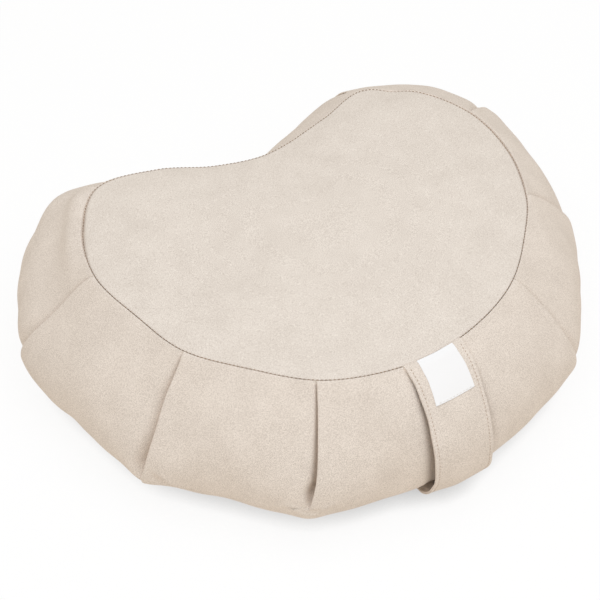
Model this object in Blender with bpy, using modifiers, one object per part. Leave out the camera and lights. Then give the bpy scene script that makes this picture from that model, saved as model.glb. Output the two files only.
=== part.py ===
"""Crescent meditation cushion: cotton canvas drawn over a buckwheat fill.

A side band with eight knife pleats joins a crescent top panel to a crescent bottom panel.
A folded strap, sewn into both seams at the front, is the handle, and a small label lies on it.
The hollow side of the crescent faces +Y and the strap faces -Y.  Units are metres, +Z is up.
"""
import math

import bpy
import numpy as np

MM = 0.001

# Driving sizes
SEAM_HEIGHT = 112 * MM          # top seam above the floor
CROWN = 10 * MM                 # rise of the top panel from its seam to its middle
CROWN_POWER = 2.6               # how long the crown stays flat before it falls to the seam
WIDEST_HEIGHT = 41 * MM         # where the band stands out furthest
FOOT_OUT = 12 * MM              # bottom seam outside the line of the top seam
PANEL_DRAW = 2 * MM             # how far the band is drawn in half-way between two pleats
FOLD_WIDTH = 6.5 * MM           # unit of the pleats' width: a fold turns about one and a half under
SEAM_DIP = 1 * MM               # depth of the channel along the top seam
SEAM_DIP_POWER = 24             # how close to the seam that channel stays
CLEARANCE = 0.3 * MM            # air between two pieces that touch
SHEET = 1.5 * MM                # canvas of the two panels
PANEL_SEAT = SHEET + 0.4 * MM   # the body's faces lie this far behind the panels' outer faces

STRAP_WIDTH = 51 * MM
STRAP_SHEET = 2 * MM            # two layers of canvas
STRAP_STAND_OFF = 3 * MM        # air behind the strap at the band's widest
STRAP_DROP = 18 * MM            # height of the curve's handle where the strap turns under
STRAP_BEND = 26 * MM            # how far in that curve's handle on the floor lies
STRAP_SLANT = -0.18             # drift along the seam for each step outwards
STRAP_STIFFNESS = 0.6           # share of the seam's bend that the strap doesn't follow in its middle
LABEL_WIDTH = 32 * MM
LABEL_LENGTH = 36 * MM
LABEL_SHEET = 1 * MM
LABEL_SIDEWAYS = 2 * MM         # label's middle from the strap's middle

# Section of the band
STRAIGHT_SHOULDER = math.radians(60)    # shoulder at which the band runs straight to its widest
SHOULDER_HANDLE = 0.6           # length of the curve's handle at the seam, in bulges
LOWER_HANDLE = 0.5              # length of the handle under the widest, in heights of the widest
FOOT_HANDLE = 0.5               # length of the handle at the foot, in widths of the undercut
FOOT_RISE = math.radians(20)    # slope of the band where it lifts away from the floor

# Where a pleat's fold grows, as steps of reach: 0 at the top seam, 1 at the widest, 2 at the foot
FOLD_OPENS = 0.4                # from the top seam to a fully folded pleat
FOLD_CLOSES = 0.3               # from a fully folded pleat to the bottom seam
DEPTH_OPENS = 0.15              # from the top seam to the shallow depth
DEPTH_FULL = 1.5                # from the top seam to the full depth
SHALLOW = 0.15                  # depth near the top seam, in full depths
STRAP_LEAVES = 0.8              # from the top seam to the strap's stiffest stretch
STRAP_JOINS = 0.4               # from there to the bottom seam

# Places on the top seam, counter-clockwise from the strap, seen from above.
#   x, y      where the seam passes, in mm from the middle of the front arc
#   bulge     how far the band stands out past the seam there, in mm
#   shoulder  how steeply the band leaves the seam, in degrees below the level
#   lap       1 or -1 at a pleat: the panel ahead, or the one behind, lies on top
#   depth     depth of the pleat at its deepest, in mm
#   lean      how far the pleat's foot runs along the seam from its head, in mm
STATIONS = (
    # name           x     y   bulge shoulder lap depth lean
    ("strap",        9, -177,   58,   30,     0,  0,    0),
    ("near_right",   58, -165,  55,   30,     0,  0,    0),
    ("front_right", 100, -142,  58,   40,    -1,  7,    0),
    ("side_right",  136, -104,  54,   30,     0,  0,    0),
    ("right",       160,  -69,  50,   40,    -1,  7,    0),
    ("far_right",   176,  -18,  46,   32,     0,  0,    0),
    ("back_right",  174,   36,  58,   38,    -1,  6,    0),
    ("lobe_top",    148,   80,  71,   34,     0,  0,    0),
    ("lobe_right",  106,  103,  55,   38,    -1,  5,    0),
    ("notch_right",  61,   87,  50,   38,     0,  0,    0),
    ("notch",         0,   70,  48,   48,     0,  0,    0),
    ("notch_left",  -45,   77,  46,   58,     0,  0,    0),
    ("back_left",   -88,   95,  42,   58,     0,  0,    0),
    ("lobe_left",  -139,   99,  52,   34,     1,  5,    0),
    ("far_left",   -168,   60,  59,   32,     0,  0,    0),
    ("left",       -179,    9,  65,   42,     1,  7,    0),
    ("low_left",   -167,  -44,  66,   30,     0,  0,    0),
    ("side_left",  -151,  -89,  65,   44,     1,  8,    0),
    ("near_left",  -116, -127,  64,   30,     0,  0,    0),
    ("front_left",  -78, -159,  65,   40,     1,  8,    0),
    ("near_strap",  -36, -174,  54,   30,     0,  0,    0),
)

# One knife pleat, cut level, for a pleat whose far panel (ahead) lies on top.
#   open    mm along the seam where the cloth lies flat, as it does at both seams
#   folded  fold widths along the seam where the pleat is folded
#   out     fold depths outwards
PLEAT_SECTION = (
    # open folded  out
    (-9.0, -2.00, -0.12),
    (-6.0, -0.70, -0.42),
    (-4.0,  0.20, -0.80),
    (-2.5,  1.10, -1.00),
    (-1.4,  1.55, -0.80),
    (-0.5,  1.10, -0.52),
    ( 0.4,  0.27, -0.30),
    ( 1.3,  0.00,  0.00),
    ( 2.4,  0.20,  0.20),
    ( 5.0,  1.20,  0.18),
    ( 9.0,  2.80,  0.06),
)

# How finely the solids are drawn
SPAN_STEPS = 24                 # points of the seam between two stations
COLUMN_PITCH = 17 * MM          # columns of the band between two pleats
FEWEST_COLUMNS = 3
BAND_ROWS = 15                  # rows of the band from seam to seam
CROWN_RINGS = (1.0, 0.95, 0.86, 0.72, 0.45)     # rings of the top, in shares of the way to its seam
BASE_RINGS = (1.0, 0.5)         # rings of the bottom panel
STRAP_ROWS = 30
STRAP_COLUMNS = 7
LABEL_ROWS = 9
LABEL_COLUMNS = 5
LABEL_FINENESS = 4              # the label's path is read from a strap path this much finer

NORMAL_REACH = 20 * MM          # the seam's direction is read this far to either side
MIDDLE = np.array((0, -35)) * MM    # the crescent's middle, in from which the panels' rings lie
SMOOTH_ANGLE = math.radians(50)

# Colours as sRGB, roughness
FINISHES = {
    "cushion_body": ((222, 211, 199), 0.92),
    "top_panel": ((226, 216, 206), 0.92),
    "bottom_panel": ((222, 211, 199), 0.92),
    "handle_strap": ((218, 206, 193), 0.90),
    "label": ((246, 245, 243), 0.60),
}


def smooth(share):
    """Ease from 0 to 1 with level ends."""
    share = np.clip(share, 0, 1)
    return share * share * (3 - 2 * share)


def closed_spline(rows, steps):
    """Cubic curve round a closed list of rows, each row's slope taken from its two neighbours."""
    ahead = np.roll(rows, -1, axis=0)
    chord = np.linalg.norm((ahead - rows)[:, :2], axis=1)[:, None]
    slope = (ahead - np.roll(rows, 1, axis=0)) / (chord + np.roll(chord, 1, axis=0))
    slope_ahead = np.roll(slope, -1, axis=0)
    f = np.linspace(0, 1, steps, endpoint=False)[:, None, None]
    rise = smooth(f)
    leave = chord * slope * f * (1 - f) ** 2
    arrive = -chord * slope_ahead * f * f * (1 - f)
    points = rows + (ahead - rows) * rise + leave + arrive
    return points.transpose(1, 0, 2).reshape(-1, rows.shape[1])


def seam_table():
    """Arc lengths along the top seam, and x, y, bulge and shoulder there."""
    units = (MM, MM, MM, math.radians(1))
    ring = closed_spline(np.array([station[1:5] for station in STATIONS]) * units, SPAN_STEPS)
    ring = np.vstack([ring, ring[:1]])
    steps = np.linalg.norm(np.diff(ring[:, :2], axis=0), axis=1)
    return np.concatenate([[0], np.cumsum(steps)]), ring


SEAM_RUN, SEAM_RING = seam_table()
SEAM_LENGTH = SEAM_RUN[-1]


def on_seam(arc):
    """Values of the seam table at arc lengths counted from the strap."""
    arc = np.mod(arc, SEAM_LENGTH)
    return np.stack([np.interp(arc, SEAM_RUN, column) for column in SEAM_RING.T], axis=-1)


def seam_frame(arc):
    """Seam point, level direction along the seam and level direction outwards."""
    along = on_seam(arc + NORMAL_REACH)[..., :2] - on_seam(arc - NORMAL_REACH)[..., :2]
    along /= np.linalg.norm(along, axis=-1, keepdims=True)
    outward = np.stack([along[..., 1], -along[..., 0]], axis=-1)
    return on_seam(arc)[..., :2], along, outward


def cubic(start, leave, arrive, end, f):
    """Bezier curve; the four points are (out, height) pairs."""
    weights = ((1 - f) ** 3, 3 * f * (1 - f) ** 2, 3 * f * f * (1 - f), f ** 3)
    pairs = (start, leave, arrive, end)
    return tuple(sum(w * pair[i] for w, pair in zip(weights, pairs)) for i in (0, 1))


def band_profile(reach, bulge, shoulder):
    """Section of the band as (out, height): reach 0 at the top seam, 1 at the widest, 2 at the foot."""
    top = (2 * CLEARANCE, SEAM_HEIGHT - SEAM_DIP)
    widest = (bulge, WIDEST_HEIGHT)
    foot = (FOOT_OUT, PANEL_SEAT)
    fall = SHOULDER_HANDLE * bulge
    lift = FOOT_HANDLE * (bulge - FOOT_OUT)
    fullness = 1 - shoulder / STRAIGHT_SHOULDER
    leave_top = (top[0] + fall * np.cos(shoulder), top[1] - fall * np.sin(shoulder))
    reach_widest = (bulge, WIDEST_HEIGHT + fullness * (SEAM_HEIGHT - WIDEST_HEIGHT))
    leave_widest = (bulge, (1 - LOWER_HANDLE) * WIDEST_HEIGHT)
    reach_foot = (FOOT_OUT + lift * math.cos(FOOT_RISE), PANEL_SEAT + lift * math.sin(FOOT_RISE))
    upper = cubic(top, leave_top, reach_widest, widest, np.clip(reach, 0, 1))
    lower = cubic(widest, leave_widest, reach_foot, foot, np.clip(reach - 1, 0, 1))
    return tuple(np.where(reach < 1, above, below) for above, below in zip(upper, lower))


def pleats():
    """Arc length, lap, depth and lean of each pleat, in order along the seam."""
    heads = SEAM_RUN[:-1:SPAN_STEPS]
    return [(head, row[5], row[6] * MM, row[7] * MM) for head, row in zip(heads, STATIONS) if row[5]]


def pleat_section(lap):
    """Rows of the pleat's section in order along the seam, mirrored where the panel behind is on top."""
    if lap > 0:
        return PLEAT_SECTION
    return [(-flat, -folded, out) for flat, folded, out in reversed(PLEAT_SECTION)]


def band_columns():
    """Columns of the band in order along the seam: (arc, open, folded, out, drawn, lean).

    open and folded are lengths along the seam, out is a length outwards, and drawn runs
    from 0 at a pleat to 1 half-way between two.
    """
    columns = []
    folds = pleats()
    edge = PLEAT_SECTION[-1][0] * MM
    for fold, after in zip(folds, folds[1:] + folds[:1]):
        head, lap, depth, lean = fold
        for flat, folded, out in pleat_section(lap):
            columns.append((head, flat * MM, folded * FOLD_WIDTH, out * depth, 0, lean))
        gap = (after[0] - head) % SEAM_LENGTH
        count = max(FEWEST_COLUMNS, round(gap / COLUMN_PITCH))
        for share in np.linspace(0, 1, count + 2)[1:-1]:
            arc = edge + share * (gap - 2 * edge)
            drawn = math.sin(math.pi * arc / gap) ** 2
            columns.append((head + arc, 0, 0, 0, drawn, lean + (after[3] - lean) * arc / gap))
    return np.array(columns).T


def band_surface(rows):
    """Points of the band, one row for each height and one column for each place along the seam."""
    reach = np.linspace(0, 2, rows)[:, None]
    arc, flat, folded, out, drawn, lean = band_columns()
    closing = smooth((2 - reach) / FOLD_CLOSES)
    folding = smooth(reach / FOLD_OPENS) * closing
    deepening = (SHALLOW + (1 - SHALLOW) * smooth(reach / DEPTH_FULL)) * smooth(reach / DEPTH_OPENS) * closing
    arc = arc + flat * (1 - folding) + folded * folding + lean * smooth(reach / 2)
    point, _, outward = seam_frame(arc)
    bulge, shoulder = np.moveaxis(on_seam(arc)[..., 2:], -1, 0)
    away, height = band_profile(reach, bulge - PANEL_DRAW * drawn, shoulder)
    away = away + out * deepening
    height = np.broadcast_to(height, away.shape)
    return np.concatenate([point + outward * away[..., None], height[..., None]], axis=-1)


def crown_height(share):
    """Top of the top panel, from its middle (share 0) to its seam (share 1)."""
    return SEAM_HEIGHT + CROWN * (1 - share ** CROWN_POWER) - SEAM_DIP * share ** SEAM_DIP_POWER


def crescent_rings(arc, offset, heights):
    """Rings of a crescent drawn in towards its middle, from (share, height) pairs, outermost first."""
    point, _, outward = seam_frame(arc)
    rim = point + outward * offset
    rings = []
    for share, height in heights:
        flat = MIDDLE + (rim - MIDDLE) * share
        rings.append(np.column_stack([flat, np.full(len(arc), height)]))
    return rings


def column_arcs():
    """Arc lengths of the band's columns where the cloth lies flat."""
    arc, flat, _, _, _, _ = band_columns()
    return arc + flat


def new_object(name, vertices, faces):
    """Mesh object with its own canvas-like material."""
    mesh = bpy.data.meshes.new(name)
    mesh.from_pydata([tuple(vertex) for vertex in vertices], [], faces)
    mesh.validate()
    thing = bpy.data.objects.new(name, mesh)
    colour, roughness = FINISHES[name]
    material = bpy.data.materials.new(name)
    material.use_nodes = True
    shader = material.node_tree.nodes["Principled BSDF"]
    shader.inputs["Base Color"].default_value = (*[linear(part) for part in colour], 1)
    shader.inputs["Roughness"].default_value = roughness
    shader.inputs["Metallic"].default_value = 0
    mesh.materials.append(material)
    mesh.shade_smooth()
    mesh.set_sharp_from_angle(angle=SMOOTH_ANGLE)
    return thing


def linear(part):
    """One sRGB channel, 0 to 255, as a linear value."""
    part /= 255
    return part / 12.92 if part <= 0.04045 else ((part + 0.055) / 1.055) ** 2.4


def ring_faces(first, second, count):
    """Quads between two closed rings of vertices, outer side facing out when first lies above."""
    after = [(i + 1) % count for i in range(count)]
    return [(first + i, second + i, second + j, first + j) for i, j in enumerate(after)]


def cushion_body():
    """The filled cushion: crowned top under the top panel, pleated band, flat base on the bottom panel."""
    band = band_surface(BAND_ROWS)
    count = band.shape[1]
    seat = [(share, crown_height(share) - PANEL_SEAT) for share in CROWN_RINGS]
    rings = crescent_rings(column_arcs(), CLEARANCE, seat)[::-1] + list(band)
    crown = (*MIDDLE, crown_height(0) - PANEL_SEAT)
    base = (*MIDDLE, PANEL_SEAT)
    vertices = np.vstack(rings + [crown, base])
    faces = []
    for ring in range(len(rings) - 1):
        faces += ring_faces(ring * count, (ring + 1) * count, count)
    last = (len(rings) - 1) * count
    top = len(vertices) - 2
    faces += [(top, i, (i + 1) % count) for i in range(count)]
    faces += [(top + 1, last + (i + 1) % count, last + i) for i in range(count)]
    return new_object("cushion_body", vertices, faces)


def thicken(thing, thickness, offset):
    """Turn an open surface into a sheet; offset -1 grows it behind its faces, 0 to both sides."""
    sheet = thing.modifiers.new("thickness", 'SOLIDIFY')
    sheet.thickness = thickness
    sheet.offset = offset
    sheet.use_even_offset = True
    return thing


def crescent_panel(name, offset, heights, middle_height, upwards):
    """A crescent of cloth: rings round a middle point, thickened behind its visible side."""
    rings = crescent_rings(column_arcs(), offset, heights)
    count = len(rings[0])
    vertices = np.vstack(rings + [(*MIDDLE, middle_height)])
    faces = []
    for ring in range(len(rings) - 1):
        faces += ring_faces((ring + 1) * count, ring * count, count)
    middle = len(vertices) - 1
    last = (len(rings) - 1) * count
    faces += [(middle, last + i, last + (i + 1) % count) for i in range(count)]
    if not upwards:
        faces = [face[::-1] for face in faces]
    return thicken(new_object(name, vertices, faces), SHEET, -1)


def lifted(out, height, distance):
    """A path of (out, height) moved outwards along its own normals by a distance."""
    slope_out, slope_height = np.gradient(out), np.gradient(height)
    steep = np.hypot(slope_out, slope_height)
    return out - slope_height / steep * distance, height + slope_out / steep * distance


def strap_path(rows):
    """Middle line of the strap as (out, height), from the top seam to the foot.

    The upper two thirds follow the band at a growing distance, and the rest curves in to the floor.
    """
    bulge, shoulder = on_seam(0)[2:]
    bulge -= PANEL_DRAW
    half = rows * 2 // 3
    reach = np.linspace(0, 1, half)
    stand_off = CLEARANCE + STRAP_SHEET / 2 + STRAP_STAND_OFF * smooth(reach)
    out, height = lifted(*band_profile(reach, bulge, shoulder), stand_off)
    widest = (out[-1], height[-1])
    foot = (FOOT_OUT + STRAP_SHEET, STRAP_SHEET / 2)
    steps = np.linspace(0, 1, rows - half + 1)[1:]
    lower = cubic(widest, (widest[0], STRAP_DROP), (widest[0] - STRAP_BEND, foot[1]), foot, steps)
    return np.concatenate([out, lower[0]]), np.concatenate([height, lower[1]])


def strip(name, out, height, reach, across, thickness):
    """Sheet carried along a path over the band at the strap, bent across to follow the seam's curve."""
    point, along, outward = seam_frame(0.0)
    drop = (on_seam(across)[:, :2] - point) @ outward
    follow = 1 - STRAP_STIFFNESS * smooth(reach / STRAP_LEAVES) * smooth((2 - reach) / STRAP_JOINS)
    away = out[:, None] + follow[:, None] * drop
    sideways = across + STRAP_SLANT * out[:, None]
    flat = point + sideways[..., None] * along + away[..., None] * outward
    height = np.broadcast_to(height[:, None], away.shape)
    grid = np.concatenate([flat, height[..., None]], axis=-1)
    rows, columns = away.shape
    faces = []
    for row in range(rows - 1):
        for column in range(columns - 1):
            corner = row * columns + column
            faces.append((corner, corner + columns, corner + columns + 1, corner + 1))
    return thicken(new_object(name, grid.reshape(-1, 3), faces), thickness, 0)


def handle_strap():
    """Carrying strap from the top seam down over the band and under to the bottom seam."""
    out, height = strap_path(STRAP_ROWS)
    reach = np.linspace(0, 2, STRAP_ROWS)
    across = np.linspace(-STRAP_WIDTH / 2, STRAP_WIDTH / 2, STRAP_COLUMNS)
    return strip("handle_strap", out, height, reach, across, STRAP_SHEET)


def label():
    """Bare woven label on the strap, its upper end at the top seam."""
    out, height = strap_path(STRAP_ROWS * LABEL_FINENESS)
    run = np.concatenate([[0], np.cumsum(np.hypot(np.diff(out), np.diff(height)))])
    reach = np.linspace(0, 2, len(out))
    out, height = lifted(out, height, STRAP_SHEET / 2 + CLEARANCE + LABEL_SHEET / 2)
    places = np.linspace(0, LABEL_LENGTH, LABEL_ROWS)
    path = [np.interp(places, run, values) for values in (out, height, reach)]
    across = np.linspace(-LABEL_WIDTH / 2, LABEL_WIDTH / 2, LABEL_COLUMNS) + LABEL_SIDEWAYS
    return strip("label", *path, across, LABEL_SHEET)


def centre(things):
    """Move the pieces together so that their common box stands centred on the origin."""
    graph = bpy.context.evaluated_depsgraph_get()
    points = np.array([vertex.co for thing in things for vertex in thing.evaluated_get(graph).data.vertices])
    lowest, highest = points.min(axis=0), points.max(axis=0)
    middle = (lowest + highest) / 2
    for thing in things:
        thing.location = (-middle[0], -middle[1], -lowest[2])


def build():
    for old in list(bpy.data.objects):
        bpy.data.objects.remove(old)
    collection = bpy.data.collections.new("crescent_meditation_cushion")
    bpy.context.scene.collection.children.link(collection)
    crown = [(share, crown_height(share)) for share in CROWN_RINGS]
    base = [(share, 0) for share in BASE_RINGS]
    things = [
        cushion_body(),
        crescent_panel("top_panel", 0, crown, crown_height(0), upwards=True),
        crescent_panel("bottom_panel", FOOT_OUT - 2 * CLEARANCE, base, 0, upwards=False),
        handle_strap(),
        label(),
    ]
    for thing in things:
        collection.objects.link(thing)
    bpy.context.view_layer.update()
    centre(things)


build()
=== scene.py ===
"""Crescent meditation cushion: the finished cloth, seams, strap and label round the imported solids.

Lengths are metres in the frame of the solids: +Z up, the strap at -Y, the hollow side at +Y.
Every piece is a surface worked out as one grid of points. The band is a section swept round the
top seam: arc is the length along that seam, counted counter-clockwise from the strap, and reach
runs from 0 at the top seam over 1, where the band stands out furthest, to 2 at the bottom seam.
"""

import math

import bpy
import numpy as np
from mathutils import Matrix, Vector


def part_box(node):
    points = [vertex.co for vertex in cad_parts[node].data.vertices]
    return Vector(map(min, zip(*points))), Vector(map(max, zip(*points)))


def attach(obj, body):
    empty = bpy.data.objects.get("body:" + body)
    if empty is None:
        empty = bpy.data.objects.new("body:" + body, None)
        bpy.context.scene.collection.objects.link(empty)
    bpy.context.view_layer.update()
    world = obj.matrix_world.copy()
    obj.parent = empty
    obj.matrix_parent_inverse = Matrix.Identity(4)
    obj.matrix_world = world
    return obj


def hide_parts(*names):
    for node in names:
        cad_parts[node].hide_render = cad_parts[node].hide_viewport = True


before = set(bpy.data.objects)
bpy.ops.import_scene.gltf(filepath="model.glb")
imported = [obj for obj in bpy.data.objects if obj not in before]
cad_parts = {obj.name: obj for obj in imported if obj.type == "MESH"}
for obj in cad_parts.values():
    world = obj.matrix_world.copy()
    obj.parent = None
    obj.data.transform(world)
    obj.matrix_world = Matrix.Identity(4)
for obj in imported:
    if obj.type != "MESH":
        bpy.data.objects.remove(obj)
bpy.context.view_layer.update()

MM = 0.001
BODY = "root"

# ---------------------------------------------------------------- sizes shared with the solids
SEAM_HEIGHT = 112 * MM          # top seam above the floor
CROWN = 10 * MM                 # middle of the top above its seam
CROWN_POWER = 2.6               # how flat the crown is in the middle
WIDEST_HEIGHT = 41 * MM         # widest place of the band above the floor
SEAM_OUT = 0.6 * MM             # the band's first row outside the line of the top seam
FOOT_OUT = 12 * MM              # bottom seam outside the line of the top seam
PANEL_DRAW = 2 * MM             # how far the band is drawn in half-way between two pleats
PANEL_SEAT = 1.9 * MM           # the body's faces lie this far behind the panels' outer faces
STRAP_WIDTH = 51 * MM
STRAP_THICK = 2 * MM            # two layers of canvas, a little apart
STRAP_STAND_OFF = 3 * MM        # hand gap behind the strap
STRAP_SUNK = 1.5 * MM           # its sewn end starts inside the seam
STRAP_SUNK_REACH = 0.04         # reach at which it has come out of the seam
STRAP_SLANT = -0.18             # sideways for each metre outwards
STRAP_STIFFNESS = 0.85          # share of the band's turn that its edges don't follow
LABEL_WIDTH = 32 * MM
LABEL_LENGTH = 36 * MM
LABEL_SIDEWAYS = 1 * MM
STRAIGHT_SHOULDER = math.radians(60)    # shoulder that falls straight to the widest place
SHOULDER_HANDLE = 0.6           # handles of the band's curves, as shares of their spans
LOWER_HANDLE = 0.5
FOOT_HANDLE = 0.5
FOOT_RISE = math.radians(20)    # how steeply the band leaves the bottom seam
MIDDLE = np.array((0, -35)) * MM        # middle of the panels' rings, in the seam table's frame
NORMAL_REACH = 20 * MM          # the seam's direction is taken over this far to both sides
SPAN_STEPS = 24                 # points of the seam between two stations

# Places on the top seam: bulge is how far the band stands out (mm), shoulder how steeply it leaves
# the seam (degrees).
STATIONS = (
    # name           x     y   bulge shoulder
    ("strap",         9, -177,  58,   30),
    ("near_right",   58, -165,  55,   30),
    ("front_right", 100, -142,  58,   40),
    ("side_right",  136, -104,  54,   30),
    ("right",       160,  -69,  50,   40),
    ("far_right",   176,  -18,  46,   32),
    ("back_right",  174,   36,  58,   38),
    ("lobe_top",    148,   80,  71,   34),
    ("lobe_right",  106,  103,  55,   38),
    ("notch_right",  61,   87,  50,   38),
    ("notch",         0,   70,  48,   48),
    ("notch_left",  -45,   77,  46,   58),
    ("back_left",   -88,   95,  42,   58),
    ("lobe_left",  -139,   99,  52,   34),
    ("far_left",   -168,   60,  59,   32),
    ("left",       -179,    9,  65,   42),
    ("low_left",   -167,  -44,  66,   30),
    ("side_left",  -151,  -89,  65,   44),
    ("near_left",  -116, -127,  64,   30),
    ("front_left",  -78, -159,  65,   40),
    ("near_strap",  -36, -174,  54,   30),
)

# The knife pleats, each at a station. lap is 1 where the panel further round the seam lies on top
# and -1 where the nearer one does. Each row gives, at a reach, the depth and the width of the
# valley beside the lip, and how far round the seam the lip lies from the pleat's head (all mm).
PLEATS = (
    # station, lap, rows of (reach, depth, width, along)
    ("front_right", -1, ((0, 0, 1, 1), (0.05, 1.8, 1.5, 2), (0.30, 3.6, 5, 2), (0.60, 5, 7, 1),
                         (0.95, 6.5, 8, 2), (1.40, 5, 5, 2), (1.95, 0, 3, 2))),
    ("right",       -1, ((0, 0, 1, 0), (0.06, 1.6, 2, 3), (0.22, 3.4, 5, 8), (0.46, 5, 8, 12),
                         (0.80, 6.5, 9, 17), (1.30, 5, 6, 19), (1.95, 0, 3, 19))),
    ("back_right",  -1, ((0, 0, 1, 1), (0.07, 1.0, 2, 4), (0.21, 2.2, 4.5, 9), (0.45, 5, 7, 14),
                         (0.80, 5.5, 7, 17), (1.30, 4, 5, 18), (1.95, 0, 3, 18))),
    ("lobe_right",  -1, ((0, 0, 1, 0), (0.30, 0.3, 1.5, 0), (0.55, 1.6, 4, 1), (0.90, 4.5, 6, 2),
                         (1.40, 4, 5, 2), (1.95, 0, 3, 2))),
    ("lobe_left",    1, ((0, 0, 1, 0), (0.10, 2.6, 3, 2), (0.22, 4, 4.5, 8), (0.40, 5.5, 6, 15),
                         (0.62, 5.5, 6, 25), (1.00, 4, 5, 36), (1.95, 0, 3, 40))),
    ("left",         1, ((0, 0, 1, -1), (0.05, 1.8, 2, -3), (0.15, 3.4, 5, -5), (0.40, 5.5, 8, -6),
                         (0.95, 8, 10, -9), (1.40, 5, 6, -10), (1.95, 0, 3, -10))),
    ("side_left",    1, ((0, 0, 1, 1), (0.04, 1.8, 1.5, 1), (0.14, 4.5, 3.5, 1), (0.30, 8, 6.5, 1),
                         (0.55, 11, 7.5, 3), (0.93, 17, 7, 3), (1.05, 10, 5, 2), (1.14, 0, 3, 2))),
    ("front_left",   1, ((0, 0, 1, 0), (0.04, 2.4, 1.0, 0.5), (0.20, 5.5, 1.4, 1.5),
                         (0.50, 9, 2.2, 2),
                         (0.68, 12, 3, 1.5), (0.79, 18, 3.6, 0.5), (0.89, 9, 2.6, -0.5),
                         (0.98, 0, 2.5, -1.5))),
)

# A pleat cut level, for lap 1. open is mm along the seam where the cloth lies flat. Where it is
# folded, a point lies side mm plus wide valley widths along the seam, and deep valley depths in
# and proud mm out.
PLEAT_SECTION = (
    # open    side   wide   deep  proud
    (-24.00, -24.00,  0.00, 0.00, 0.00),
    (-15.00,  -6.00, -1.20, 0.00, 0.00),
    (-10.50,  -2.50, -1.05, 0.03, 0.00),
    (-7.50,   -1.20, -0.80, 0.14, 0.00),
    (-5.50,   -0.60, -0.50, 0.38, 0.00),
    (-4.00,   -0.20, -0.22, 0.66, 0.00),
    (-2.90,    0.50,  0.00, 0.88, 0.00),
    (-2.20,    1.60,  0.00, 1.00, 0.00),
    (-1.60,    2.80,  0.00, 0.93, 0.00),
    (-1.10,    3.00,  0.00, 0.68, 0.00),
    (-0.70,    2.00,  0.00, 0.36, 0.00),
    (-0.35,    0.80,  0.00, 0.12, 0.08),
    (-0.10,    0.12,  0.00, 0.03, 0.25),
    (0.00,    -0.05,  0.00, 0.00, 0.65),
    (0.40,     0.35,  0.00, 0.00, 1.30),
    (1.20,     1.30,  0.00, 0.00, 1.55),
    (3.50,     4.20,  0.00, 0.00, 1.15),
    (8.00,     9.50,  0.00, 0.00, 0.55),
    (15.00,   16.00,  0.00, 0.00, 0.15),
    (24.00,   24.00,  0.00, 0.00, 0.00),
)

# How far the strap swings sideways from its straight slant: rows of (reach, mm to the right).
STRAP_SWAY = ((0, 0), (0.07, 1.4), (0.18, 3.3), (0.40, 3.2), (0.70, 1.6), (1.00, 0.8), (2.00, 0.8))

SECTION_STEPS = 3               # columns between two rows of the section
SECTION_WIDTH = 5               # valley width and depth (mm) that the section's curve is drawn for
SECTION_DEPTH = 8
RUN_STEPS = 8                   # points between two rows of a pleat's or the sway's table
BAND_ROWS = 104                 # rows of the band below its roll into the top seam
PANEL_COLUMNS = 460             # columns round a panel
STRAP_ROWS = 140
LABEL_ROWS = 90
COLUMN_PITCH = 2.4 * MM         # columns of the band between two pleats
FOLD_DEPTH = 1.4 * MM           # valley depth at which the cloth is wholly folded over

# Soft folds of the band: where each one's middle lies (arc in mm, reach), how long and how wide it
# is, how far its length is turned from the seam's direction towards the foot (degrees), and how
# far it stands out, or in where less than 0 (mm).
SOFT_FOLDS = (
    # arc   reach length width turn height
    (963,  1.22,   8,   12,    0,  2.5),        # foot of the front left pleat, bunched
    (956,  0.98,   6,    1.5, 60,  1.6),        # its hem, a U round the slit's end
    (970,  0.98,   6,    1.5, -60, 1.6),
    (963,  1.07,   5,    1.5,  0,  1.4),
    (946,  1.12,  12,   14,    0, -1.2),
    (984,  1.12,  14,   14,    0, -1.2),
    (864,  1.15,  10,   13,    0,  3.6),        # foot of the side pleat
    (875,  1.04,   8,    3,   60, -2.5),
    (879,  1.02,  10,    2,   55,  1.6),
    (703,  0.12,  32,    7,    0,  4.2),        # shoulder of the left lobe and the hollow below it
    (724,  0.36,  34,   16,   10, -4.0),
    (663,  0.55,  14,   14,    0,  5.0),        # turned corner of the left lobe
    (640,  0.16,  14,   10,    0, -3.0),
    (671,  0.12,  10,    7,    0,  2.0),
    (328,  0.28,  14,    2.5,  0,  1.3),        # ridges beside the back right pleat
    (306,  0.42,   8,    2.2, 80,  0.9),
    (309,  0.58,   9,   12,    0,  2.4),
    (1052, 0.75,  50,   14,   96, -6.0),        # channel that the strap presses in, and its edges
    (1036, 0.55,  52,    5,   93, -6.0),
    (13,   0.60,  45,    6,   97, -4.0),
)

# Unevenness of the loose fill under the cloth, as waves: cycles round the seam, cycles from seam
# to seam, turn at the start (radians) and height (mm).
FILL_WAVES = (
    # round down turn height
    (13,   1.2, 0.4,  0.24),
    (19,  -1.7, 2.1,  0.24),
    (27,   0.8, 4.0,  0.18),
    (37,   2.6, 1.2,  0.14),
    (43,  -3.1, 5.1,  0.10),
)

# Where the top seam is drawn in deeper, and where it sags: arc, length, groove and sag (mm).
SEAM_DRAWS = (
    # arc length groove sag
    (702,  38,   3.0,  0.0),
    (376,  12,   2.2,  2.6),
    (322,  30,   2.2,  0.0),
    (280,  26,   2.2,  0.0),
    (225,  40,   1.8,  0.0),
)

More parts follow.
